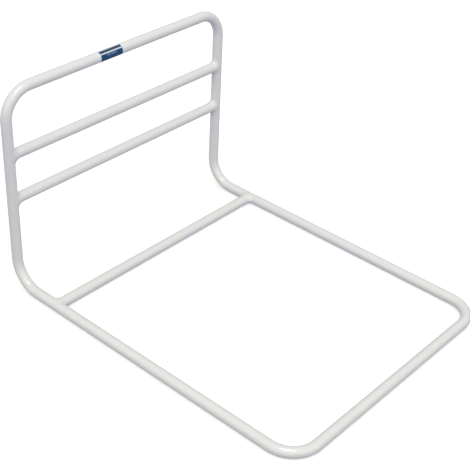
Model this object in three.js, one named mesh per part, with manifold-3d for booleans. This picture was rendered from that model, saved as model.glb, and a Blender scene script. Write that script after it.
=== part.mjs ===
// Bed assist rail: a welded frame of one-inch steel tube, powder coated off-white.
// An upright hoop with two crossbars stands beside the bed. Its legs bend forward into a flat base
// loop that lies under the mattress, with one more crossbar close in front of the rail.
//
// Units are millimetres and +Z is up. +X runs along the rail and +Y points from the bed to the rail.
// The origin is on the ground, under the middle of the bounding box.

import * as THREE from 'three';
import { mergeVertices } from 'three/addons/utils/BufferGeometryUtils.js';
import Module from 'manifold-3d';

// Driving dimensions. Heights, widths and depths run between tube centrelines.
const TUBE_DIAMETER = 25.4;
const TUBE_WALL = 1.5;
const BEND_RADIUS = 68;
const RAIL_WIDTH = 680;
const RAIL_HEIGHT = 495;
const BASE_DEPTH = 850;
const UPPER_RAIL_RISE = 342;
const LOWER_RAIL_RISE = 228;
const BASE_TUBE_SETBACK = 135.5;
const JOINT_SETBACK = 195;
const SLEEVE_LENGTH = 80;
const BUTT_WELD_WIDTH = 3;
const RAIL_FILLET_LEG = 12;
const BASE_FILLET_LEG = 8;
const FILLET_FLANK = 1;
const FILLET_START = 3;
const LABEL_LENGTH = 88;
const LABEL_CENTRE_X = -39.5;
const LABEL_THICKNESS = 0.3;
const GAP = 0.3;

// Faceting. The facets of every round section face squarely up, down and sideways.
const FACETS = 24;
const BEND_STEPS = 8;
const FILLET_STEPS = 5;
const LABEL_FACETS = 13;
const LABEL_FIRST_CORNER = -82.5;

// Values that follow from the driving dimensions.
const TUBE_RADIUS = TUBE_DIAMETER / 2;
const BORE_RADIUS = TUBE_RADIUS - TUBE_WALL;
const HALF_WIDTH = RAIL_WIDTH / 2;
const RAIL_Y = (BASE_DEPTH - FILLET_FLANK) / 2;
const FRONT_Y = RAIL_Y - BASE_DEPTH;
const JOINT_Y = RAIL_Y - JOINT_SETBACK;
const BASE_Z = TUBE_RADIUS;
const TOP_Z = BASE_Z + RAIL_HEIGHT;

const wasm = await Module();
wasm.setup();

const POWDER_COAT = { color: 0xe6e4de, roughness: 0.42, metalness: 0 };
const BARE_STEEL = { color: 0x8f9194, roughness: 0.35, metalness: 1 };
const LABEL_FILM = { color: 0x1d4a78, roughness: 0.25, metalness: 0 };

/** A named mesh with a material of its own. */
function makePart(name, geometry, finish) {
  const mesh = new THREE.Mesh(geometry, new THREE.MeshStandardMaterial(finish));
  mesh.name = name;
  return mesh;
}

/** The corner points of a round section whose facets lie at the given radius. */
function roundCorners(radius) {
  const cornerRadius = radius / Math.cos(Math.PI / FACETS);
  const corners = [];
  for (let i = 0; i < FACETS; i += 1) {
    const angle = (2 * Math.PI * (i + 0.5)) / FACETS;
    corners.push(new THREE.Vector2(cornerRadius * Math.cos(angle), cornerRadius * Math.sin(angle)));
  }
  return corners;
}

/** Straight runs through a list of corner points, joined by quarter-circle bends. */
class BentPath extends THREE.Curve {
  constructor(corners) {
    super();
    this.points = [corners[0]];
    this.tangents = [corners[1].clone().sub(corners[0]).normalize()];
    for (let i = 1; i < corners.length - 1; i += 1) {
      this.addBend(corners[i - 1], corners[i], corners[i + 1]);
    }
    this.points.push(corners.at(-1));
    this.tangents.push(this.tangents.at(-1));
    this.steps = this.points.length - 1;
  }

  /** Adds the stations of the bend at one right-angled corner. */
  addBend(before, corner, after) {
    const inward = corner.clone().sub(before).normalize();
    const outward = after.clone().sub(corner).normalize();
    const centre = corner.clone().addScaledVector(inward, -BEND_RADIUS).addScaledVector(outward, BEND_RADIUS);
    for (let i = 0; i <= BEND_STEPS; i += 1) {
      const angle = (Math.PI / 2) * (i / BEND_STEPS);
      const point = centre.clone().addScaledVector(outward, -BEND_RADIUS * Math.cos(angle));
      const tangent = inward.clone().multiplyScalar(Math.cos(angle));
      this.points.push(point.addScaledVector(inward, BEND_RADIUS * Math.sin(angle)));
      this.tangents.push(tangent.addScaledVector(outward, Math.sin(angle)));
    }
  }

  getPointAt(u, target = new THREE.Vector3()) {
    return target.copy(this.points[Math.round(u * this.steps)]);
  }

  getTangentAt(u, target = new THREE.Vector3()) {
    return target.copy(this.tangents[Math.round(u * this.steps)]);
  }
}

/** A round bar or, with an inner radius, a tube along a path given by its corner points. */
function sweepRound(corners, outerRadius, innerRadius = 0) {
  const section = new THREE.Shape(roundCorners(outerRadius));
  if (innerRadius > 0) {
    section.holes.push(new THREE.Path(roundCorners(innerRadius)));
  }
  const path = new BentPath(corners);
  return new THREE.ExtrudeGeometry(section, { steps: path.steps, extrudePath: path });
}

/** A closed geometry as a manifold solid. */
function toSolid(geometry) {
  const bare = geometry.clone();
  bare.deleteAttribute('normal');
  bare.deleteAttribute('uv');
  const merged = mergeVertices(bare, 1e-3);
  return new wasm.Manifold(new wasm.Mesh({
    numProp: 3,
    vertProperties: new Float32Array(merged.attributes.position.array),
    triVerts: new Uint32Array(merged.index.array),
  }));
}

/** A manifold solid as a geometry. */
function toGeometry(solid) {
  const mesh = solid.getMesh();
  const geometry = new THREE.BufferGeometry();
  geometry.setAttribute('position', new THREE.BufferAttribute(mesh.vertProperties, 3));
  geometry.setIndex(new THREE.BufferAttribute(mesh.triVerts, 1));
  geometry.computeVertexNormals();
  return geometry;
}

/** Cuts each cutter out of a geometry. */
function cutAway(geometry, cutters) {
  const solid = cutters.reduce((rest, cutter) => rest.subtract(toSolid(cutter)), toSolid(geometry));
  return toGeometry(solid);
}

/** The space that a side tube takes where a crossbar meets it, with clearance. The tube runs along Z. */
function sideTubeSpace(x) {
  const ends = [new THREE.Vector3(x, 0, -2 * TUBE_DIAMETER), new THREE.Vector3(x, 0, 2 * TUBE_DIAMETER)];
  return sweepRound(ends, TUBE_RADIUS + GAP);
}

/** A crossbar along X between two side tubes along Z, with both ends coped to fit round them. */
function makeCrossTube() {
  const ends = [new THREE.Vector3(-HALF_WIDTH, 0, 0), new THREE.Vector3(HALF_WIDTH, 0, 0)];
  const tube = sweepRound(ends, TUBE_RADIUS, BORE_RADIUS);
  return cutAway(tube, [sideTubeSpace(-HALF_WIDTH), sideTubeSpace(HALF_WIDTH)]);
}

/**
 * The fillet weld round one end of a crossbar, with the side tube's axis at x = 0 and the crossbar
 * running towards +X. It is a hollow-cheeked flare with legs of the given length where the tubes meet
 * square, and thin at its flanks, where they run level. A flush weld is ground level with the tubes on
 * its -Y flank.
 */
function makeFilletWeld(leg, flush) {
  const toe = TUBE_RADIUS + leg;
  const profile = [new THREE.Vector2(0, FILLET_START), new THREE.Vector2(toe, FILLET_START)];
  for (let i = 0; i <= FILLET_STEPS; i += 1) {
    const angle = (Math.PI / 2) * (i / FILLET_STEPS);
    const radius = toe - leg * Math.sin(angle);
    profile.push(new THREE.Vector2(radius, toe - leg * Math.cos(angle)));
  }
  profile.push(new THREE.Vector2(0, toe));
  const flare = new THREE.LatheGeometry(profile, FACETS);
  flare.rotateZ(-Math.PI / 2);
  flare.scale(1, (TUBE_RADIUS + FILLET_FLANK) / toe, 1);
  const barEnds = [new THREE.Vector3(-TUBE_DIAMETER, 0, 0), new THREE.Vector3(2 * TUBE_DIAMETER, 0, 0)];
  const cutters = [sideTubeSpace(0), sweepRound(barEnds, TUBE_RADIUS + GAP)];
  if (flush) {
    const spoil = new THREE.BoxGeometry(4 * toe, 2 * TUBE_RADIUS, 4 * toe);
    cutters.push(spoil.translate(0, -2 * TUBE_RADIUS + GAP, 0));
  }
  return cutAway(flare, cutters);
}

/** A crossbar and the weld round each of its ends, in a group of their own. */
function makeCrossbar(tubeName, weldName, leg, flush) {
  const crossbar = new THREE.Group();
  crossbar.add(makePart(tubeName, makeCrossTube(), POWDER_COAT));
  const left = makePart(`${weldName}_left_weld`, makeFilletWeld(leg, flush), POWDER_COAT);
  left.position.x = -HALF_WIDTH;
  const right = makePart(`${weldName}_right_weld`, makeFilletWeld(leg, flush), POWDER_COAT);
  right.position.x = HALF_WIDTH;
  right.rotation.y = Math.PI;
  crossbar.add(left, right);
  return crossbar;
}

/** The rail: one tube bent into the top bar, the uprights and the first stretch of the base sides. */
function makeRailHoop() {
  const end = JOINT_Y + BUTT_WELD_WIDTH / 2 + GAP;
  const corners = [
    new THREE.Vector3(-HALF_WIDTH, end, BASE_Z),
    new THREE.Vector3(-HALF_WIDTH, RAIL_Y, BASE_Z),
    new THREE.Vector3(-HALF_WIDTH, RAIL_Y, TOP_Z),
    new THREE.Vector3(HALF_WIDTH, RAIL_Y, TOP_Z),
    new THREE.Vector3(HALF_WIDTH, RAIL_Y, BASE_Z),
    new THREE.Vector3(HALF_WIDTH, end, BASE_Z),
  ];
  return makePart('rail_hoop_tube', sweepRound(corners, TUBE_RADIUS, BORE_RADIUS), POWDER_COAT);
}

/** The base: one tube bent into the rest of the base sides and the bar at the far end. */
function makeBaseHoop() {
  const end = JOINT_Y - BUTT_WELD_WIDTH / 2 - GAP;
  const corners = [
    new THREE.Vector3(-HALF_WIDTH, end, BASE_Z),
    new THREE.Vector3(-HALF_WIDTH, FRONT_Y, BASE_Z),
    new THREE.Vector3(HALF_WIDTH, FRONT_Y, BASE_Z),
    new THREE.Vector3(HALF_WIDTH, end, BASE_Z),
  ];
  return makePart('base_hoop_tube', sweepRound(corners, TUBE_RADIUS, BORE_RADIUS), POWDER_COAT);
}

/** A short straight tube along Y, centred on the joint between the two hoops. */
function jointTube(length, outerRadius) {
  const ends = [new THREE.Vector3(0, -length / 2, 0), new THREE.Vector3(0, length / 2, 0)];
  return sweepRound(ends, outerRadius, outerRadius - TUBE_WALL);
}

/** The joint between the hoops on one side: a sleeve inside the tubes and the ring weld over it. */
function makeJoint(side, x) {
  const joint = new THREE.Group();
  joint.add(makePart(`${side}_joint_sleeve`, jointTube(SLEEVE_LENGTH, BORE_RADIUS - GAP), BARE_STEEL));
  joint.add(makePart(`${side}_butt_weld`, jointTube(BUTT_WELD_WIDTH, TUBE_RADIUS), POWDER_COAT));
  joint.position.set(x, JOINT_Y, BASE_Z);
  return joint;
}

/** The printed film wrapped over the front and top of the top bar. */
function makeLabel() {
  const inner = (TUBE_RADIUS + GAP) / Math.cos(Math.PI / FACETS);
  const section = [];
  for (let i = 0; i <= LABEL_FACETS; i += 1) {
    const angle = THREE.MathUtils.degToRad(LABEL_FIRST_CORNER + (360 / FACETS) * i);
    const direction = new THREE.Vector2(Math.cos(angle), Math.sin(angle));
    section.push(direction.clone().multiplyScalar(inner + LABEL_THICKNESS));
    section.unshift(direction.multiplyScalar(inner));
  }
  const film = new THREE.ExtrudeGeometry(new THREE.Shape(section), {
    depth: LABEL_LENGTH,
    bevelEnabled: false,
  });
  film.translate(0, 0, -LABEL_LENGTH / 2);
  const label = makePart('rail_label', film, LABEL_FILM);
  label.rotation.set(Math.PI / 2, -Math.PI / 2, 0);
  label.position.set(LABEL_CENTRE_X, RAIL_Y, TOP_Z);
  return label;
}

const bedRail = new THREE.Group();
bedRail.add(makeRailHoop(), makeBaseHoop());

const upperCrossbar = makeCrossbar('upper_cross_rail', 'upper_rail', RAIL_FILLET_LEG, false);
upperCrossbar.position.set(0, RAIL_Y, BASE_Z + UPPER_RAIL_RISE);
const lowerCrossbar = makeCrossbar('lower_cross_rail', 'lower_rail', RAIL_FILLET_LEG, false);
lowerCrossbar.position.set(0, RAIL_Y, BASE_Z + LOWER_RAIL_RISE);
const baseCrossbar = makeCrossbar('base_cross_tube', 'base_tube', BASE_FILLET_LEG, true);
baseCrossbar.position.set(0, RAIL_Y - BASE_TUBE_SETBACK, BASE_Z);
baseCrossbar.rotation.x = Math.PI / 2;
bedRail.add(upperCrossbar, lowerCrossbar, baseCrossbar);

bedRail.add(makeJoint('left', -HALF_WIDTH), makeJoint('right', HALF_WIDTH), makeLabel());

export default bedRail;
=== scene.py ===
"""Bed assist rail: the finished surfaces of a welded frame of one-inch steel tube, powder coated off-white.

Units are metres. +X runs along the rail, +Y points from the bed to the rail and +Z is up. Every place comes
from the frame's own nodes, so each piece lies exactly where its node does.
"""

import logging
import math
from dataclasses import dataclass
from enum import Enum

import bpy
import numpy as np
from mathutils import Matrix, Vector


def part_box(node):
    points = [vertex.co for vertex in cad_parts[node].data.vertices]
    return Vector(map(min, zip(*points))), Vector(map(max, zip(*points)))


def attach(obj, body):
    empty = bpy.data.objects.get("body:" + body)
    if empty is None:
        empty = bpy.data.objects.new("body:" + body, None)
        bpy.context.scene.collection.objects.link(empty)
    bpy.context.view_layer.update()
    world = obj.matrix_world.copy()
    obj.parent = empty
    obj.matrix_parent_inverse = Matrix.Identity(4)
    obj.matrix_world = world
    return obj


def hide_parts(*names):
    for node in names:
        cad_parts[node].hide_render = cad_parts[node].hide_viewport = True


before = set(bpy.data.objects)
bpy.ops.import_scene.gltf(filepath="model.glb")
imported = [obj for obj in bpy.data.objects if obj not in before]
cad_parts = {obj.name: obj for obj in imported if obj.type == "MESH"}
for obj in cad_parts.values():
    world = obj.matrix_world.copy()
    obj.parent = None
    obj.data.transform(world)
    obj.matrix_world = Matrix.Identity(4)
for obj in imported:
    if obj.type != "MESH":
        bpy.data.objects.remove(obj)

LOG = logging.getLogger("bed_assist_rail")
MM = 0.001
CREASE_DEGREES = 40.0
NOISE_MIDDLE = 0.5

Colour = tuple[float, float, float]
Point = tuple[float, float, float]
Stops = tuple[tuple[float, Colour], ...]

WHITE: Colour = (1.0, 1.0, 1.0)
COOL_LIGHT: Colour = (0.5, 0.62, 1.0)
WARM_LIGHT: Colour = (1.0, 0.84, 0.76)


# ---------------------------------------------------------------------------------------------------------
# Where the tubes are
# ---------------------------------------------------------------------------------------------------------


@dataclass(frozen=True)
class FrameSizes:
    """The centrelines and radii of the tubes, read from the boxes of the frame's nodes."""

    tube_radius: float
    half_width: float
    rail_y: float
    front_y: float
    base_z: float
    top_z: float
    joint_y: float
    joint_half_gap: float
    sleeve_half_length: float
    label_low_x: float
    label_high_x: float

    @classmethod
    def read(cls) -> "FrameSizes":
        """Works the sizes out from the boxes of the bent tubes, a joint, a crossbar and the label.

        Returns:
            The sizes, in metres.
        """
        rail_low, rail_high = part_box("rail_hoop_tube")
        base_low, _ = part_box("base_hoop_tube")
        bar_low, bar_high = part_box("upper_cross_rail")
        ring_low, ring_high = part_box("left_butt_weld")
        sleeve_low, sleeve_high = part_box("left_joint_sleeve")
        label_low, label_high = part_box("rail_label")
        radius = (bar_high.z - bar_low.z) / 2
        return cls(
            tube_radius=radius,
            half_width=rail_high.x - radius,
            rail_y=rail_high.y - radius,
            front_y=base_low.y + radius,
            base_z=rail_low.z + radius,
            top_z=rail_high.z - radius,
            joint_y=(ring_low.y + ring_high.y) / 2,
            joint_half_gap=(ring_high.y - ring_low.y) / 2,
            sleeve_half_length=(sleeve_high.y - sleeve_low.y) / 2,
            label_low_x=label_low.x,
            label_high_x=label_high.x,
        )


# ---------------------------------------------------------------------------------------------------------
# Surfaces from grids of points
# ---------------------------------------------------------------------------------------------------------


def signed_volume(points: np.ndarray, quads: np.ndarray) -> float:
    """Six times the volume inside a closed shell: each quad's two triangles, as triple products, summed.

    Args:
        points: The vertices, one row each.
        quads: Four vertex numbers for each face.

    Returns:
        A positive number when the faces point outwards.
    """
    a, b, c, d = (points[quads[:, i]] for i in range(4))
    first = np.einsum("ij,ij->i", a, np.cross(b, c)).sum()
    return float(first + np.einsum("ij,ij->i", a, np.cross(c, d)).sum())


def ring_quads(rows: int, columns: int) -> np.ndarray:
    """The faces of a grid that closes on itself both ways, as a doughnut does.

    Args:
        rows: The number of rings.
        columns: The number of points in each ring.

    Returns:
        Four vertex numbers for each face.
    """
    numbers = np.arange(rows * columns).reshape(rows, columns)
    next_row = np.roll(numbers, -1, axis=0)
    corners = (numbers, np.roll(numbers, -1, axis=1), np.roll(next_row, -1, axis=1), next_row)
    return np.stack(corners, axis=-1).reshape(-1, 4)


def outward(points: np.ndarray, quads: np.ndarray) -> np.ndarray:
    """The same faces, turned round if the volume inside them comes out negative."""
    return quads[:, ::-1] if signed_volume(points, quads) < 0 else quads


def build_piece(name: str, points: np.ndarray, quads: np.ndarray) -> bpy.types.Object:
    """Makes a smooth piece with sharp edges where its faces turn by more than the crease angle.

    Args:
        name: The piece's name.
        points: The vertices, one row each.
        quads: Four vertex numbers for each face.

    Returns:
        The new object, at the origin.
    """
    mesh = bpy.data.meshes.new(name)
    mesh.from_pydata(points, [], quads)
    mesh.polygons.foreach_set("use_smooth", np.ones(len(quads), dtype=bool))
    mesh.set_sharp_from_angle(angle=math.radians(CREASE_DEGREES))
    mesh.update()
    piece = bpy.data.objects.new(name, mesh)
    bpy.context.scene.collection.objects.link(piece)
    return piece


def build_shell(name: str, grid: np.ndarray) -> bpy.types.Object:
    """Makes a piece from a grid that closes on itself both ways.

    Args:
        name: The piece's name.
        grid: Points as rows, columns and coordinates.

    Returns:
        The new object, at the origin.
    """
    rows, columns, _ = grid.shape
    points = grid.reshape(-1, 3)
    return build_piece(name, points, outward(points, ring_quads(rows, columns)))


def turn(vector: np.ndarray, axis: np.ndarray, angles: np.ndarray) -> np.ndarray:
    """Turns a vector about an axis by many angles.

    The part across the axis is swept by cosine and sine, and the part along the axis stays.

    Args:
        vector: The vector to turn.
        axis: The unit axis.
        angles: The angles, in radians.

    Returns:
        One turned vector for each angle.
    """
    cosine = np.cos(angles)[:, None]
    sine = np.sin(angles)[:, None]
    along = axis * (axis @ vector)
    return cosine * (vector - along) + sine * np.cross(axis, vector) + along


@dataclass(frozen=True)
class TubePath:
    """A centreline as stations, each with the two axes of its section and the way out of its bend.

    Attributes:
        points: Where each station is.
        side: The section's first axis.
        other: The section's second axis.
        radial: The unit direction away from the bend's centre, or zero on a straight run.
        squash: How much of the bend's flattening each station has, from 0 to 1.
    """

    points: np.ndarray
    side: np.ndarray
    other: np.ndarray
    radial: np.ndarray
    squash: np.ndarray


def bent_path(corners: list[Vector], bend_radius: float, pitch: float, bend_steps: int) -> TubePath:
    """Straight runs joined by quarter circles, with the section carried round each bend without a twist.

    On a bend, the point is the centre minus the outgoing heading times the cosine plus the incoming heading
    times the sine, both times the bend's radius. The bend's flattening is the square root of the sine of
    twice the angle, so it is nothing at both ends of the bend and whole in its middle.

    Args:
        corners: The points where the runs would meet if the bends were sharp. The first run crosses X.
        bend_radius: The radius of each bend at the centreline.
        pitch: The distance between stations on a straight run.
        bend_steps: The number of stations round each bend.

    Returns:
        The stations from the first corner to the last.
    """
    corner = np.array(corners, dtype=float)
    legs = np.diff(corner, axis=0)
    headings = legs / np.linalg.norm(legs, axis=1, keepdims=True)
    side = np.array((1.0, 0.0, 0.0))
    points, sides, heads, radials, squashes = [], [], [], [], []
    for number, heading in enumerate(headings):
        start = corner[number] + (bend_radius * heading if number > 0 else 0)
        last = number == len(headings) - 1
        end = corner[number + 1] - (0 if last else bend_radius * heading)
        steps = max(2, round(float(np.linalg.norm(end - start)) / pitch))
        share = np.linspace(0, 1, steps + 1)
        share = share if number == 0 else share[1:]
        share = share if last else share[:-1]
        points.append(start + share[:, None] * (end - start))
        heads.append(np.tile(heading, (len(share), 1)))
        sides.append(np.tile(side, (len(share), 1)))
        radials.append(np.zeros((len(share), 3)))
        squashes.append(np.zeros(len(share)))
        if last:
            break
        onward = headings[number + 1]
        axis = np.cross(heading, onward)
        angles = np.linspace(0, math.pi / 2, bend_steps + 1)
        radial = turn(-onward, axis, angles)
        centre = corner[number + 1] - bend_radius * heading + bend_radius * onward
        points.append(centre + bend_radius * radial)
        heads.append(turn(heading, axis, angles))
        sides.append(turn(side, axis, angles))
        radials.append(radial)
        squashes.append(np.sqrt(np.sin(2 * angles)))
        side = sides[-1][-1]
    side_axes = np.vstack(sides)
    return TubePath(
        points=np.vstack(points),
        side=side_axes,
        other=np.cross(np.vstack(heads), side_axes),
        radial=np.vstack(radials),
        squash=np.concatenate(squashes),
    )


def tube_skin(path: TubePath, radius: float, columns: int, ovality: float) -> np.ndarray:
    """One round skin along a path, a little flattened on its bends as a bent tube is.

    Each point is the centreline plus the radius times the section's two axes, by cosine and sine. On a bend,
    the part along the bend's radius shrinks.

    Args:
        path: The centreline.
        radius: The skin's radius.
        columns: The number of points round the section.
        ovality: The share of its radius that the section loses across the bend.

    Returns:
        The points as stations, columns and coordinates.
    """
    angles = np.linspace(0, 2 * math.pi, columns, endpoint=False)
    cosine, sine = np.cos(angles)[None, :, None], np.sin(angles)[None, :, None]
    offset = cosine * path.side[:, None] + sine * path.other[:, None]
    along_radius = np.einsum("sci,si->sc", offset, path.radial)
    shrink = ovality * path.squash[:, None] * along_radius
    offset = offset - shrink[..., None] * path.radial[:, None]
    return path.points[:, None] + radius * offset


def tube_wall(path: TubePath, outer: float, inner: float, columns: int, ovality: float) -> np.ndarray:
    """The whole wall of a tube: the outer skin one way, and the bore's skin back again.

    Args:
        path: The centreline.
        outer: The outer skin's radius.
        inner: The bore's radius.
        columns: The number of points round the section.
        ovality: The share of its radius that the section loses across a bend.

    Returns:
        The points as stations, columns and coordinates.
    """
    outside = tube_skin(path, outer, columns, ovality)
    bore = tube_skin(path, inner, columns, ovality)
    return np.concatenate((outside, bore[::-1]))


# ---------------------------------------------------------------------------------------------------------
# Shader nodes
# ---------------------------------------------------------------------------------------------------------


class Value:
    """A number, colour or vector that varies over a surface. Arithmetic on a number adds Math nodes."""

    def __init__(self, nodes: "Nodes", socket: bpy.types.NodeSocket) -> None:
        """Wraps one output socket of a node tree."""
        self.nodes = nodes
        self.socket = socket

    def _math(self, operation: str, *values: "Value | float", clamp: bool = False) -> "Value":
        """Adds a Math node that works on the values in order."""
        settings = {"operation": operation, "use_clamp": clamp}
        return self.nodes.node("ShaderNodeMath", settings, dict(enumerate(values)))

    def __add__(self, other: "Value | float") -> "Value":
        """The sum of the two."""
        return self._math("ADD", self, other)

    def __radd__(self, other: float) -> "Value":
        """The sum of the two."""
        return self._math("ADD", other, self)

    def __sub__(self, other: "Value | float") -> "Value":
        """This less the other."""
        return self._math("SUBTRACT", self, other)

    def __rsub__(self, other: float) -> "Value":
        """The other less this."""
        return self._math("SUBTRACT", other, self)

    def __mul__(self, other: "Value | float") -> "Value":
        """The product of the two."""
        return self._math("MULTIPLY", self, other)

    def __rmul__(self, other: float) -> "Value":
        """The product of the two."""
        return self._math("MULTIPLY", other, self)

    def __truediv__(self, other: "Value | float") -> "Value":
        """This over the other."""
        return self._math("DIVIDE", self, other)

    def clamp(self) -> "Value":
        """The value held between 0 and 1."""
        return self._math("ADD", self, 0.0, clamp=True)

    def above(self, edge: float, blur: float) -> "Value":
        """A mask that rises from 0 to 1 across an edge, over the width of the blur."""
        return ((self - (edge - blur / 2)) / blur).clamp()

    def between(self, low: float, high: float, blur: float) -> "Value":
        """A mask that is 1 between two edges."""
        return self.above(low, blur) * (1 - self.above(high, blur))


class Nodes:
    """A node tree, to which any node is added by one method."""

    def __init__(self, tree: bpy.types.NodeTree) -> None:
        """Takes the tree to work on."""
        self.tree = tree

    def node(
        self,
        kind: str,
        settings: dict[str, object] | None = None,
        inputs: dict[str | int, object] | None = None,
        output: str | int = 0,
    ) -> Value:
        """Adds a node.

        Args:
            kind: The node's type.
            settings: Its own settings, set first. "stops" gives a ramp's places and colours.
            inputs: A value or a Value for each named or numbered socket.
            output: The output to wrap.

        Returns:
            The chosen output.
        """
        made = self.tree.nodes.new(kind)
        for key, value in (settings or {}).items():
            if key == "stops":
                self.set_stops(made.color_ramp, value)
            else:
                setattr(made, key, value)
        self.feed(made, inputs or {})
        return Value(self, made.outputs[output])

    def feed(self, node: bpy.types.Node, inputs: dict[str | int, object]) -> None:
        """Sets or links sockets of a node.

        Args:
            node: The node.
            inputs: A value or a Value for each named or numbered socket.
        """
        for key, value in inputs.items():
            if isinstance(value, Value):
                self.tree.links.new(value.socket, node.inputs[key])
            elif isinstance(value, tuple) and len(value) == 3 and node.inputs[key].type == "RGBA":
                node.inputs[key].default_value = (*value, 1.0)
            else:
                node.inputs[key].default_value = value

    @staticmethod
    def set_stops(ramp: bpy.types.ColorRamp, stops: Stops) -> None:
        """Gives a ramp its stops.

        Args:
            ramp: The ramp.
            stops: The place and the colour of each stop, in order.
        """
        while len(ramp.elements) < len(stops):
            ramp.elements.new(1.0)
        for element, (place, colour) in zip(ramp.elements, stops):
            element.position = place
            element.color = (*colour, 1.0)

    def mix(self, share: Value, low: Value | Colour, high: Value | Colour) -> Value:
        """Two colours mixed by a mask.

        Args:
            share: The mask, on the node's socket 0.
            low: The colour where the mask is 0, on socket 6.
            high: The colour where the mask is 1, on socket 7.

        Returns:
            The mixed colour, which is output 2.
        """
        colours = {"data_type": "RGBA"}
        return self.node("ShaderNodeMix", colours, {0: share, 6: low, 7: high}, output=2)


class Shader(Nodes):
    """A material's node tree."""

    def __init__(self, name: str) -> None:
        """Makes the material with only its output and surface shader.

        Args:
            name: The material's name.
        """
        self.material = bpy.data.materials.new(name)
        self.material.use_nodes = True
        super().__init__(self.material.node_tree)
        self.surface = self.tree.nodes["Principled BSDF"]

    def place(self) -> Value:
        """The point on the surface, in the object's own coordinates."""
        return self.node("ShaderNodeTexCoord", output="Object")

    def noise(self, scale: float, detail: float = 2.0, stretch: Point = (1.0, 1.0, 1.0)) -> Value:
        """Smooth noise around one half.

        Args:
            scale: The number of cells in a metre.
            detail: How many finer layers it has.
            stretch: Factors along the axes. A small one stretches the cells along its axis.

        Returns:
            The noise.
        """
        place = self.place()
        if stretch != (1.0, 1.0, 1.0):
            place = self.node("ShaderNodeMapping", inputs={"Vector": place, "Scale": stretch})
        inputs = {"Vector": place, "Scale": scale, "Detail": detail}
        return self.node("ShaderNodeTexNoise", inputs=inputs)

    def bump(self, height: Value, distance: float, under: Value | None = None) -> Value:
        """A bump that turns the normal by a height.

        Args:
            height: The height, in units of the distance.
            distance: How far a height of 1 stands out.
            under: The normal of a finer bump that this one lies on.

        Returns:
            The turned normal.
        """
        inputs: dict[str | int, object] = {"Height": height, "Distance": distance, "Strength": 1.0}
        if under is not None:
            inputs["Normal"] = under
        return self.node("ShaderNodeBump", inputs=inputs)


# ---------------------------------------------------------------------------------------------------------
# Finishes
# ---------------------------------------------------------------------------------------------------------


@dataclass(frozen=True)
class PowderCoat:
    """Semi-gloss off-white powder coat: a fine orange peel, faint cloudiness and a few pinhead nibs."""

    warm: Colour = (0.78, 0.765, 0.735)
    cool: Colour = (0.755, 0.755, 0.745)
    refraction: float = 1.5
    roughness: float = 0.15
    cloud_gloss: float = 0.10
    grain_gloss: float = 0.06
    cloud_scale: float = 9.0
    cloud_detail: float = 3.0
    cloud_blur: float = 0.6
    cloud_share: float = 0.85
    sag_scale: float = 45.0
    sag_detail: float = 1.0
    sag_height: float = 0.6 * MM
    peel_scale: float = 150.0
    peel_detail: float = 0.5
    peel_height: float = 0.55 * MM
    grain_scale: float = 1500.0
    grain_height: float = 0.012 * MM
    nib_scale: float = 90.0
    nib_edge: float = 0.80
    nib_blur: float = 0.03
    nib_share: float = 0.6
    slot: str = "frame_paint"

    def material(self) -> bpy.types.Material:
        """Makes the finish.

        Returns:
            One material for every coated piece.
        """
        shader = Shader("off_white_powder_coat")
        cloud = shader.noise(self.cloud_scale, self.cloud_detail)
        grain = shader.noise(self.grain_scale)
        peel = shader.noise(self.peel_scale, self.peel_detail)
        sag = shader.noise(self.sag_scale, self.sag_detail)
        nibs = shader.noise(self.nib_scale, detail=0.0).above(self.nib_edge, self.nib_blur)
        patches = cloud.above(NOISE_MIDDLE, self.cloud_blur)
        tint = (patches * self.cloud_share + grain * (1 - self.cloud_share)).clamp()
        gloss = self.roughness + (cloud - NOISE_MIDDLE) * self.cloud_gloss
        gloss = gloss + (grain - NOISE_MIDDLE) * self.grain_gloss
        fine = shader.bump(grain, self.grain_height)
        waves = shader.bump(peel + nibs * self.nib_share, self.peel_height, under=fine)
        sagged = shader.bump(sag, self.sag_height, under=waves)
        shader.feed(
            shader.surface,
            {
                "Base Color": shader.mix(tint, self.warm, self.cool),
                "Roughness": gloss,
                "Normal": sagged,
                "IOR": self.refraction,
            },
        )
        return shader.material


@dataclass(frozen=True)
class DrawnSteel:
    """Bare drawn tube: fine lines along its length and a dull grey mill finish."""

    bright: Colour = (0.56, 0.57, 0.58)
    dull: Colour = (0.34, 0.34, 0.35)
    line_scale: float = 900.0
    line_detail: float = 3.0
    line_stretch: Point = (1.0, 0.02, 1.0)
    line_share: float = 0.6
    line_height: float = 0.008 * MM
    bloom_scale: float = 60.0
    bloom_detail: float = 4.0
    bloom_gloss: float = 0.22
    roughness: float = 0.28
    contrast_blur: float = 0.5
    slot: str = "sleeve_steel"

    def material(self) -> bpy.types.Material:
        """Makes the finish, with its lines along Y.

        Returns:
            The sleeves' material.
        """
        shader = Shader("drawn_steel")
        lines = shader.noise(self.line_scale, self.line_detail, self.line_stretch)
        bloom = shader.noise(self.bloom_scale, self.bloom_detail)
        blend = lines * self.line_share + bloom * (1 - self.line_share)
        share = blend.above(NOISE_MIDDLE, self.contrast_blur)
        shader.feed(
            shader.surface,
            {
                "Base Color": shader.mix(share, self.dull, self.bright),
                "Metallic": 1.0,
                "Roughness": self.roughness + self.bloom_gloss * bloom,
                "Normal": shader.bump(lines, self.line_height),
            },
        )
        return shader.material


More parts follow.
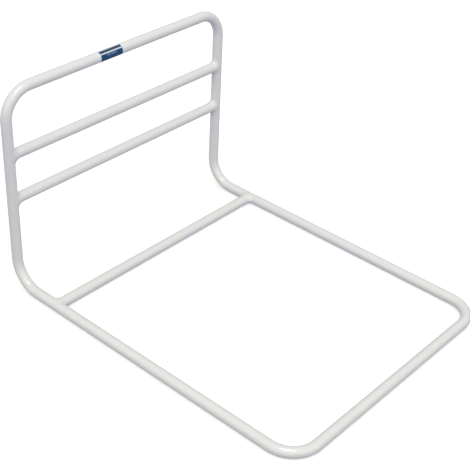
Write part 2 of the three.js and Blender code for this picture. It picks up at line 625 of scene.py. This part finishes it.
@dataclass(frozen=True)
class PrintedFilm:
    """The label's gloss film: a deep blue panel, a slate band and pale lines, and no lettering.

    The print is laid out in shares of the film's length and of its width round the tube: first a near white
    margin at both ends, then a pale border, then the panel, which a pale stripe divides from the slate band.
    The stripe is partly a printed line and partly a painted highlight of the light overhead.
    """

    blue: Colour = (0.006, 0.050, 0.150)
    light_blue: Colour = (0.020, 0.115, 0.270)
    slate: Colour = (0.036, 0.066, 0.112)
    pale: Colour = (0.69, 0.78, 0.86)
    margin: Colour = (0.765, 0.77, 0.76)
    pale_along: tuple[float, float] = (0.075, 0.965)
    panel_along: tuple[float, float] = (0.148, 0.903)
    panel_across: tuple[float, float] = (0.06, 0.864)
    # Where the pale stripe lies round the tube: partly a printed line, partly a painted highlight of the
    # light overhead.
    stripe_and_painted_highlight: tuple[float, float] = (0.622, 0.684)
    smudge_along: tuple[float, float] = (0.36, 0.68)
    smudge_across: tuple[float, float] = (0.47, 0.58)
    smudge_strength: float = 0.30
    smudge_blur: tuple[float, float] = (0.1, 0.04)
    fleck_scale: float = 420.0
    fleck_blur: float = 0.2
    wash_scale: float = 55.0
    wash_blur: float = 0.35
    wash_share: float = 0.4
    edge_blur: float = 0.01
    border_blur: float = 0.06
    roughness: float = 0.22
    wrinkle_gloss: float = 0.10
    wrinkle_scale: float = 140.0
    wrinkle_height: float = 0.012 * MM
    specular: float = 0.3
    slot: str = "label_film"

    def material(self) -> bpy.types.Material:
        """Makes the print, laid out on the film's own map: u along the tube and v up round it.

        Returns:
            The label's material.
        """
        shader = Shader("printed_film")
        mapped = shader.node("ShaderNodeTexCoord", output="UV")
        along = shader.node("ShaderNodeSeparateXYZ", inputs={0: mapped}, output="X")
        across = shader.node("ShaderNodeSeparateXYZ", inputs={0: mapped}, output="Y")
        inside = along.between(*self.panel_along, self.edge_blur)
        inside = inside * across.between(*self.panel_across, self.edge_blur)
        # Mask of the pale stripe: partly a printed line, partly a painted highlight, shown in the border's
        # pale colour.
        stripe_and_painted_highlight = across.between(*self.stripe_and_painted_highlight, self.edge_blur)
        wash = shader.noise(self.wash_scale).above(NOISE_MIDDLE, self.wash_blur)
        smudge = along.between(*self.smudge_along, self.smudge_blur[0])
        smudge = smudge * across.between(*self.smudge_across, self.smudge_blur[1])
        flecks = shader.noise(self.fleck_scale, detail=1.0).above(NOISE_MIDDLE, self.fleck_blur)
        panel = shader.mix(wash * self.wash_share, self.blue, self.light_blue)
        panel = shader.mix(smudge * flecks * self.smudge_strength, panel, self.pale)
        field = shader.mix(across.above(self.stripe_and_painted_highlight[1], self.edge_blur), panel, self.slate)
        border = shader.mix(along.between(*self.pale_along, self.border_blur), self.margin, self.pale)
        # The panel is cut away under the stripe, so the pale colour shows there as a printed line and a
        # painted highlight.
        printed = shader.mix(inside * (1 - stripe_and_painted_highlight), border, field)
        wrinkle = shader.noise(self.wrinkle_scale, detail=1.0)
        shader.feed(
            shader.surface,
            {
                "Base Color": printed,
                "Roughness": self.roughness + self.wrinkle_gloss * wrinkle,
                "Normal": shader.bump(wrinkle, self.wrinkle_height),
                "Specular IOR Level": self.specular,
            },
        )
        return shader.material


class Finish(Enum):
    """The three finishes that the frame has."""

    COAT = PowderCoat()
    STEEL = DrawnSteel()
    FILM = PrintedFilm()


class Wardrobe:
    """Makes each finish once, and puts it on pieces."""

    def __init__(self) -> None:
        """Starts with nothing made."""
        self.made: dict[Finish, bpy.types.Material] = {}

    def dress(self, piece: bpy.types.Object, finish: Finish, *nodes: str) -> bpy.types.Object:
        """Gives a piece its finish, its body and the nodes that it stands for.

        Args:
            piece: The finished piece.
            finish: Its finish.
            nodes: The frame's nodes that it replaces.

        Returns:
            The same piece.
        """
        if finish not in self.made:
            self.made[finish] = finish.value.material()
        piece.data.materials.append(self.made[finish])
        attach(piece, "root")
        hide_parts(*nodes)
        LOG.info("%s: %d faces, %s", piece.name, len(piece.data.polygons), finish.name.lower())
        return piece


# ---------------------------------------------------------------------------------------------------------
# The frame's own pieces
# ---------------------------------------------------------------------------------------------------------


@dataclass(frozen=True)
class BentTubes:
    """The two bent tubes: the rail's hoop and the base's hoop."""

    sizes: FrameSizes
    bend_radius: float = 68 * MM
    wall: float = 1.5 * MM
    ovality: float = 0.025
    pitch: float = 24 * MM
    bend_steps: int = 30
    columns: int = 72

    def hoop(self, name: str, corners: list[Vector]) -> bpy.types.Object:
        """Builds one bent tube.

        Args:
            name: The piece's name.
            corners: The points where its runs would meet if the bends were sharp.

        Returns:
            The tube.
        """
        path = bent_path(corners, self.bend_radius, self.pitch, self.bend_steps)
        outer = self.sizes.tube_radius
        return build_shell(name, tube_wall(path, outer, outer - self.wall, self.columns, self.ovality))

    def rail_hoop(self) -> bpy.types.Object:
        """The top bar, both uprights and the bends that carry them into the base.

        Returns:
            The rail's hoop.
        """
        s = self.sizes
        end = s.joint_y + s.joint_half_gap
        half = [(end, s.base_z), (s.rail_y, s.base_z), (s.rail_y, s.top_z)]
        left = [Vector((-s.half_width, y, z)) for y, z in half]
        right = [Vector((s.half_width, y, z)) for y, z in reversed(half)]
        return self.hoop("rail_hoop", left + right)

    def base_hoop(self) -> bpy.types.Object:
        """The base's two sides and the bar at its far end.

        Returns:
            The base's hoop.
        """
        s = self.sizes
        end = s.joint_y - s.joint_half_gap
        left = [Vector((-s.half_width, y, s.base_z)) for y in (end, s.front_y)]
        right = [Vector((s.half_width, y, s.base_z)) for y in (s.front_y, end)]
        return self.hoop("base_hoop", left + right)

    def build(self, wardrobe: Wardrobe) -> None:
        """Builds and dresses both hoops."""
        wardrobe.dress(self.rail_hoop(), Finish.COAT, "rail_hoop_tube")
        wardrobe.dress(self.base_hoop(), Finish.COAT, "base_hoop_tube")


@dataclass(frozen=True)
class HoopJoint:
    """One joint between the hoops: the sleeve inside and the ring weld, ground almost flush, over it."""

    sizes: FrameSizes
    side: str
    x: float
    wall: float = 1.5 * MM
    clearance: float = 0.25 * MM
    crown: float = 0.10 * MM
    crown_steps: int = 9
    chamfer: float = 0.8 * MM
    columns: int = 72

    def turned(self, name: str, profile: np.ndarray) -> bpy.types.Object:
        """Turns a closed profile about the joint's axis, ground flat where it would pass below the ground.

        Args:
            name: The piece's name.
            profile: One row for each point, with its distance along Y and its radius.

        Returns:
            The piece.
        """
        angles = np.linspace(0, 2 * math.pi, self.columns, endpoint=False)
        along, radius = profile[:, 0, None], profile[:, 1, None]
        grid = np.stack(
            (
                self.x + radius * np.cos(angles),
                self.sizes.joint_y + along + 0 * angles,
                np.maximum(self.sizes.base_z + radius * np.sin(angles), 0.0),
            ),
            axis=-1,
        )
        return build_shell(name, grid)

    def ring(self) -> bpy.types.Object:
        """The ring weld: a low crown, a parabola across the gap, on the tubes' own wall.

        Returns:
            The ring.
        """
        gap = self.sizes.joint_half_gap
        outer = self.sizes.tube_radius
        along = np.linspace(-gap, gap, self.crown_steps)
        crowned = outer + self.crown * (1 - (along / gap) ** 2)
        bore = np.array(((gap, outer - self.wall), (-gap, outer - self.wall)))
        return self.turned(f"{self.side}_ring_weld", np.vstack((np.stack((along, crowned), axis=1), bore)))

    def sleeve(self) -> bpy.types.Object:
        """The sleeve: a short tube with a chamfer at each mouth.

        Returns:
            The sleeve.
        """
        end = self.sizes.sleeve_half_length
        outer = self.sizes.tube_radius - self.wall - self.clearance
        inner = outer - self.wall
        lead = end - self.chamfer
        low = outer - self.chamfer
        outside = [(-end, low), (-lead, outer), (lead, outer), (end, low)]
        return self.turned(f"{self.side}_sleeve", np.array(outside + [(end, inner), (-end, inner)]))

    def build(self, wardrobe: Wardrobe) -> None:
        """Builds and dresses the ring and the sleeve."""
        wardrobe.dress(self.ring(), Finish.COAT, f"{self.side}_butt_weld")
        wardrobe.dress(self.sleeve(), Finish.STEEL, f"{self.side}_joint_sleeve")


class Lie(Enum):
    """How a crossbar's side tubes run, as the axes along its flanks and along the side tubes."""

    UPRIGHT = ((0.0, 1.0, 0.0), (0.0, 0.0, 1.0))
    FLAT = ((0.0, 0.0, 1.0), (0.0, 1.0, 0.0))


@dataclass(frozen=True)
class FilletShape:
    """The shape of a fillet weld where a bar meets a side tube. The crowns lie along the side tube.

    Attributes:
        bar_leg: How far the weld runs along the bar on its crowns.
        side_leg: How far it runs along the side tube.
        droop: How much shorter it is on the bar's upper crown, and longer on the lower one.
        flank_reach: How far its toe on the bar is from the side tube's axis, on the flanks.
        flank_toe: How far its toe on the side tube wraps past the bar's flanks.
        rounding: How much the corner under it is rounded where it passes the flanks.
        hollow: The corner's weight in the face's arc. A low one makes a flatter cheek.
        bead: How high the bead stands on the flanks.
        ripple: How high its ripples stand.
        ripples: The number of ripples round the bar.
        ripple_bow: How far the ripples trail behind at the toes, in radians.
        embed: How far its toes lie inside the tubes.
        root: How far its back lies inside the tubes.
        ground_gap: The least height that it keeps above the ground.
        rows: The number of points across its face.
        columns: The number of points round the bar.
    """

    bar_leg: float = 10.5 * MM
    side_leg: float = 14.0 * MM
    droop: float = 2.5 * MM
    flank_reach: float = 22.0 * MM
    flank_toe: float = 4.0 * MM
    rounding: float = 0.16
    hollow: float = 0.62
    bead: float = 0.6 * MM
    ripple: float = 0.04 * MM
    ripples: int = 46
    ripple_bow: float = 5.0
    embed: float = 0.06 * MM
    root: float = 0.9 * MM
    ground_gap: float = 0.02 * MM
    rows: int = 17
    columns: int = 288


RAIL_FILLET = FilletShape()
BASE_FILLET = FilletShape(bar_leg=9 * MM, side_leg=9 * MM, droop=0.0, flank_reach=16 * MM, hollow=0.3)


@dataclass(frozen=True)
class Crossbar:
    """A crossbar, coped to sit round its two side tubes, with a fillet weld round each end."""

    sizes: FrameSizes
    node: str
    weld_node: str
    lie: Lie
    fillet: FilletShape
    wall: float = 1.5 * MM
    cope_gap: float = 0.05 * MM
    rows: int = 30
    columns: int = 72

    def placed(self, along: np.ndarray, flank: np.ndarray, crown: np.ndarray) -> np.ndarray:
        """Turns distances from the bar's middle into points.

        Args:
            along: Distances along the bar.
            flank: Distances towards its flank, across the side tubes.
            crown: Distances along the side tubes.

        Returns:
            The points.
        """
        low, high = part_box(self.node)
        centre = np.array((low + high) / 2)
        flank_axis, crown_axis = (np.array(axis) for axis in self.lie.value)
        across = flank[..., None] * flank_axis + crown[..., None] * crown_axis
        return centre + across + along[..., None] * np.array((1.0, 0.0, 0.0))

    def skin(self, radius: float) -> np.ndarray:
        """One skin of the bar: straight lines between the two saddles where it meets the side tubes.

        A saddle lies at the half width less the square root of the side tube's radius squared less the
        distance to the flank squared.

        Args:
            radius: The skin's radius.

        Returns:
            The points as rows along the bar, columns and coordinates.
        """
        angles = np.linspace(0, 2 * math.pi, self.columns, endpoint=False)
        reach = self.sizes.tube_radius + self.cope_gap
        saddle = self.sizes.half_width - np.sqrt(reach**2 - (radius * np.sin(angles)) ** 2)
        share = np.linspace(-1, 1, self.rows)[:, None]
        flank = np.broadcast_to(radius * np.sin(angles), (self.rows, self.columns))
        crown = np.broadcast_to(radius * np.cos(angles), (self.rows, self.columns))
        return self.placed(share * saddle, flank, crown)

    def tube(self) -> bpy.types.Object:
        """The coped tube, outer skin and bore.

        Returns:
            The bar.
        """
        outer = self.sizes.tube_radius
        grid = np.concatenate((self.skin(outer), self.skin(outer - self.wall)[::-1]))
        return build_shell(f"{self.weld_node}_bar", grid)

    def weld(self, end: int) -> bpy.types.Object:
        """The fillet weld round one end, as a ring of hollow arcs.

        Going round the bar, the corner between the tubes is a rounded saddle. The toe on the bar lies on an
        ellipse about the side tube's axis, from the side tube's radius plus the leg at the crowns to the
        flank's reach. The other toe climbs the side tube, and wraps a little past its flank. Between the
        toes the face is a conic arc that bends towards the corner, plus a low bead that is highest on the
        flanks, plus a ripple. The back of the ring follows the same toes, a little inside the tubes.

        Args:
            end: -1 for the weld at the low X end, and 1 for the other.

        Returns:
            The weld.
        """
        r = self.sizes.tube_radius
        shape = self.fillet
        angles = np.linspace(0, 2 * math.pi, shape.columns, endpoint=False)
        sine, cosine = np.sin(angles), np.cos(angles)
        stand = np.sqrt((cosine**2 + shape.rounding**2) / (1 + shape.rounding**2))
        on_flank = sine**2
        crown_reach = r + shape.bar_leg - shape.droop * cosine
        bar_reach = np.sqrt((crown_reach * cosine) ** 2 + (shape.flank_reach * sine) ** 2)
        turn_angle = np.arctan2(sine, stand) + shape.flank_toe / r * sine**3
        bar_normal = np.stack((0 * sine, sine, cosine), axis=-1)
        side_normal = np.stack((np.cos(turn_angle), np.sin(turn_angle), 0 * sine), axis=-1)
        corner = r * np.stack((stand, sine, cosine), axis=-1)
        bar_toe = np.stack((bar_reach, r * sine, r * cosine), axis=-1)
        side_toe = r * side_normal + ((r + shape.side_leg) * cosine)[:, None] * np.array((0.0, 0.0, 1.0))
        out = bar_normal + side_normal
        out = out / np.linalg.norm(out, axis=1, keepdims=True)
        share = np.linspace(0, 1, shape.rows)[:, None, None]
        weights = ((1 - share) ** 2, 2 * share * (1 - share) * shape.hollow, share**2)
        face = (weights[0] * side_toe + weights[1] * corner + weights[2] * bar_toe) / sum(weights)
        hump = 4 * share * (1 - share)
        wave = np.cos(shape.ripples * angles[None, :, None] + shape.ripple_bow * (2 * share - 1) ** 2)
        height = hump * (shape.bead * on_flank[None, :, None] + shape.ripple * wave)
        face = face + (height - shape.embed * (1 - hump)) * out
        behind_bar = bar_toe - shape.root * bar_normal
        behind_side = side_toe - shape.root * side_normal
        back = np.stack((behind_bar, corner - math.sqrt(2) * shape.root * out, behind_side))
        ring = np.concatenate((face, back))
        grid = self.placed(end * (self.sizes.half_width - ring[..., 0]), ring[..., 1], ring[..., 2])
        grid[..., 2] = np.maximum(grid[..., 2], shape.ground_gap)
        side = "left" if end < 0 else "right"
        return build_shell(f"{self.weld_node}_{side}_fillet", grid)

    def build(self, wardrobe: Wardrobe) -> None:
        """Builds and dresses the bar and its two welds.

        Args:
            wardrobe: Where the finishes are.
        """
        wardrobe.dress(self.tube(), Finish.COAT, self.node)
        for end, side in ((-1, "left"), (1, "right")):
            wardrobe.dress(self.weld(end), Finish.COAT, f"{self.weld_node}_{side}_weld")


@dataclass(frozen=True)
class RailLabel:
    """The printed film round the top bar, with rounded corners and its edges down on the tube."""

    sizes: FrameSizes
    first_angle: float = -82.5
    last_angle: float = 112.5
    thickness: float = 0.14 * MM
    lift: float = 0.02 * MM
    corner: float = 3.0 * MM
    rows: int = 72
    columns: int = 60

    def build(self, wardrobe: Wardrobe) -> None:
        """Builds and dresses the film."""
        wardrobe.dress(self.film(), Finish.FILM, "rail_label")

    def film(self) -> bpy.types.Object:
        """The film, as a sheet bent round the tube: its face one way and its back the other way.

        Its ends draw in near the two long edges by a quarter circle, which rounds the corners. The map has u
        along the tube and v round it.

        Returns:
            The film.
        """
        s = self.sizes
        radius = s.tube_radius + self.lift
        span = math.radians(self.last_angle - self.first_angle)
        length = s.label_high_x - s.label_low_x
        v = (1 - np.cos(np.linspace(0, math.pi, self.rows))) / 2
        u = np.linspace(0, 1, self.columns)
        to_edge = np.minimum(v, 1 - v) * span * radius
        rise = np.clip(1 - to_edge / self.corner, 0, 1)
        draw_in = self.corner * (1 - np.sqrt(1 - rise**2)) / length
        across = draw_in[:, None] + (1 - 2 * draw_in[:, None]) * u
        angle = math.radians(self.first_angle) + v * span
        x = s.label_low_x + length * across
        sheets = []
        for level in (radius + self.thickness, radius):
            y = np.broadcast_to((s.rail_y - level * np.cos(angle))[:, None], x.shape)
            z = np.broadcast_to((s.top_z + level * np.sin(angle))[:, None], x.shape)
            sheets.append(np.stack((x, y, z), axis=-1))
        grid = np.concatenate((sheets[0], sheets[1][:, ::-1]), axis=1)
        uv = np.stack((across, np.broadcast_to(v[:, None], across.shape)), axis=-1)
        return self.bent_sheet(grid, np.concatenate((uv, uv[:, ::-1]), axis=1))

    @staticmethod
    def bent_sheet(grid: np.ndarray, uv: np.ndarray) -> bpy.types.Object:
        """Makes the film's mesh: a flat sleeve of rows, closed along its two long edges.

        Args:
            grid: Points as rows and columns, each row running over the face and back along the underside.
            uv: The map's coordinates for the same points.

        Returns:
            The film.
        """
        rows, columns, _ = grid.shape
        numbers = np.arange(rows * columns).reshape(rows, columns)
        walls = ring_quads(rows, columns).reshape(rows, columns, 4)[:-1].reshape(-1, 4)
        half = columns // 2
        face, back = numbers[:, :half], numbers[:, half:][:, ::-1]
        edges = []
        for row, order in ((0, 1), (-1, -1)):
            top, under = face[row], back[row]
            strip = np.stack((top[:-1], under[:-1], under[1:], top[1:]), axis=-1)
            edges.append(strip[:, ::order])
        quads = np.vstack((walls, *edges))
        points = grid.reshape(-1, 3)
        quads = outward(points, quads)
        piece = build_piece("label_film", points, quads)
        layer = piece.data.uv_layers.new(name="UVMap")
        layer.data.foreach_set("uv", uv.reshape(-1, 2)[quads.ravel()].ravel())
        return piece


# ---------------------------------------------------------------------------------------------------------
# The studio
# ---------------------------------------------------------------------------------------------------------


@dataclass(frozen=True)
class Softbox:
    """A square light panel that faces a point. One that is only for glints lights no matt surface."""

    name: str
    azimuth: float
    elevation: float
    size: float
    power: float
    colour: Colour = WHITE
    distance: float = 4.0
    only_glints: bool = False

    def build(self, aim: Vector) -> None:
        """Hangs the light on a sphere round the point it faces.

        Args:
            aim: The point.
        """
        light = bpy.data.lights.new(self.name, "AREA")
        light.shape = "SQUARE"
        light.size = self.size
        light.energy = self.power
        light.color = self.colour
        lamp = bpy.data.objects.new(self.name, light)
        back = direction(self.azimuth, self.elevation)
        lamp.location = aim + self.distance * back
        lamp.rotation_mode = "QUATERNION"
        lamp.rotation_quaternion = (-back).to_track_quat("-Z", "Y")
        lamp.visible_diffuse = not self.only_glints
        bpy.context.scene.collection.objects.link(lamp)


def direction(azimuth: float, elevation: float) -> Vector:
    """The unit direction towards a viewer who looks along +Y at azimuth 0 and along -X at azimuth 90.

    Args:
        azimuth: How far round the viewer is, in degrees.
        elevation: How far up the viewer is, in degrees.

    Returns:
        The direction.
    """
    turn_angle, rise = math.radians(azimuth), math.radians(elevation)
    flat = math.cos(rise)
    return Vector((math.sin(turn_angle) * flat, -math.cos(turn_angle) * flat, math.sin(rise)))


@dataclass(frozen=True)
class Studio:
    """A pale floor, a soft surround, softboxes and the camera.

    The surround is a large lit scoop behind the camera, brightest partway up, and a dimmer even wall on the
    far side.
    """

    floor_half: float = 9.0
    floor_colour: Colour = (0.86, 0.86, 0.86)
    floor_shade: float = 0.985
    floor_cloud_scale: float = 0.6
    floor_roughness: float = 0.9
    floor_glow: float = 0.32
    surround_strength: float = 2.0
    near_stops: Stops = (
        (0.0, (0.12, 0.14, 0.22)),
        (0.3, (0.10, 0.10, 0.21)),
        (0.5, (0.105, 0.10, 0.195)),
        (0.6, (0.51, 0.51, 0.445)),
        (0.7, (0.835, 0.83, 0.68)),
        (0.8, (0.875, 0.865, 0.74)),
        (0.9, (0.645, 0.635, 0.59)),
        (1.0, (0.225, 0.215, 0.25)),
    )
    far_colour: Colour = (0.225, 0.225, 0.225)
    backdrop: Colour = (0.5, 0.5, 0.5)
    camera_azimuth: float = -49.96
    camera_elevation: float = 33.97
    camera_roll: float = 2.98
    camera_distance: float = 2.8027
    camera_lens: float = 83.5
    aim: Point = (0.1736, 0.1928, 0.0127)
    softboxes: tuple[Softbox, ...] = (
        Softbox("cool_softbox", azimuth=-40.0, elevation=70.0, size=1.4, power=29.0, colour=COOL_LIGHT),
        Softbox("warm_softbox", azimuth=-50.0, elevation=50.0, size=1.0, power=12.0, colour=WARM_LIGHT),
        Softbox("glint_softbox", azimuth=-63.0, elevation=70.0, size=1.2, power=45.0, only_glints=True),
    )

    def floor(self) -> None:
        """A flat floor that takes shadows and throws no light back up."""
        edge = self.floor_half
        corners = [(-edge, -edge, 0), (edge, -edge, 0), (edge, edge, 0), (-edge, edge, 0)]
        mesh = bpy.data.meshes.new("floor")
        mesh.from_pydata(corners, [], [(0, 1, 2, 3)])
        floor = bpy.data.objects.new("floor", mesh)
        bpy.context.scene.collection.objects.link(floor)
        shader = Shader("pale_floor")
        shade = tuple(self.floor_shade * part for part in self.floor_colour)
        cloud = shader.noise(self.floor_cloud_scale)
        shader.feed(
            shader.surface,
            {
                "Base Color": shader.mix(cloud, shade, self.floor_colour),
                "Roughness": self.floor_roughness,
                "Emission Color": WHITE,
                "Emission Strength": self.floor_glow,
            },
        )
        mesh.materials.append(shader.material)
        floor.visible_diffuse = False
        floor.visible_glossy = False
        floor.visible_shadow = False

    def surround(self) -> None:
        """A soft light from all round: the near side's ramp by height, fading into the far side's colour.

        The share of the near side is half of one plus the level part of the direction towards the camera.
        Seen past the floor's edge, the surround is a plain backdrop.
        """
        world = bpy.data.worlds.new("soft_surround")
        world.use_nodes = True
        bpy.context.scene.world = world
        nodes = Nodes(world.node_tree)
        gaze = nodes.node("ShaderNodeTexCoord", output="Generated")
        height = nodes.node("ShaderNodeSeparateXYZ", inputs={0: gaze}, output="Z")
        towards = {0: gaze, 1: direction(self.camera_azimuth, 0.0)}
        facing = nodes.node("ShaderNodeVectorMath", {"operation": "DOT_PRODUCT"}, towards, "Value")
        near = nodes.node("ShaderNodeValToRGB", {"stops": self.near_stops}, {"Fac": height * 0.5 + 0.5})
        light = nodes.mix(facing * 0.5 + 0.5, self.far_colour, near)
        seen = nodes.node("ShaderNodeLightPath", output="Is Camera Ray")
        background = nodes.tree.nodes["Background"]
        colour = nodes.mix(seen, light, self.backdrop)
        nodes.feed(background, {"Color": colour, "Strength": self.surround_strength})

    def camera(self) -> None:
        """The camera, on a line from the point it aims at and rolled a little to its left."""
        back = direction(self.camera_azimuth, self.camera_elevation)
        level = Vector((0.0, 0.0, 1.0)).cross(back).normalized()
        rise = back.cross(level)
        roll = math.radians(self.camera_roll)
        right = level * math.cos(roll) + rise * math.sin(roll)
        up = rise * math.cos(roll) - level * math.sin(roll)
        lens = bpy.data.cameras.new("camera")
        lens.lens = self.camera_lens
        camera = bpy.data.objects.new("camera", lens)
        turned = Matrix((right, up, back)).transposed().to_4x4()
        turned.translation = Vector(self.aim) + self.camera_distance * back
        camera.matrix_world = turned
        bpy.context.scene.collection.objects.link(camera)
        bpy.context.scene.camera = camera

    def build(self) -> None:
        """Sets the whole studio up."""
        bpy.context.scene.view_settings.view_transform = "Standard"
        self.camera()
        self.floor()
        self.surround()
        for softbox in self.softboxes:
            softbox.build(Vector(self.aim))


def main() -> None:
    logging.basicConfig(level=logging.INFO, format="%(name)s: %(message)s")
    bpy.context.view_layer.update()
    LOG.info("the frame has %d nodes", len(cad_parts))
    Studio().build()
    sizes = FrameSizes.read()
    wardrobe = Wardrobe()
    BentTubes(sizes).build(wardrobe)
    for side, x in (("left", -sizes.half_width), ("right", sizes.half_width)):
        HoopJoint(sizes, side, x).build(wardrobe)
    Crossbar(sizes, "upper_cross_rail", "upper_rail", Lie.UPRIGHT, RAIL_FILLET).build(wardrobe)
    Crossbar(sizes, "lower_cross_rail", "lower_rail", Lie.UPRIGHT, RAIL_FILLET).build(wardrobe)
    Crossbar(sizes, "base_cross_tube", "base_tube", Lie.FLAT, BASE_FILLET).build(wardrobe)
    RailLabel(sizes).build(wardrobe)


if __name__ == "__main__":
    main()
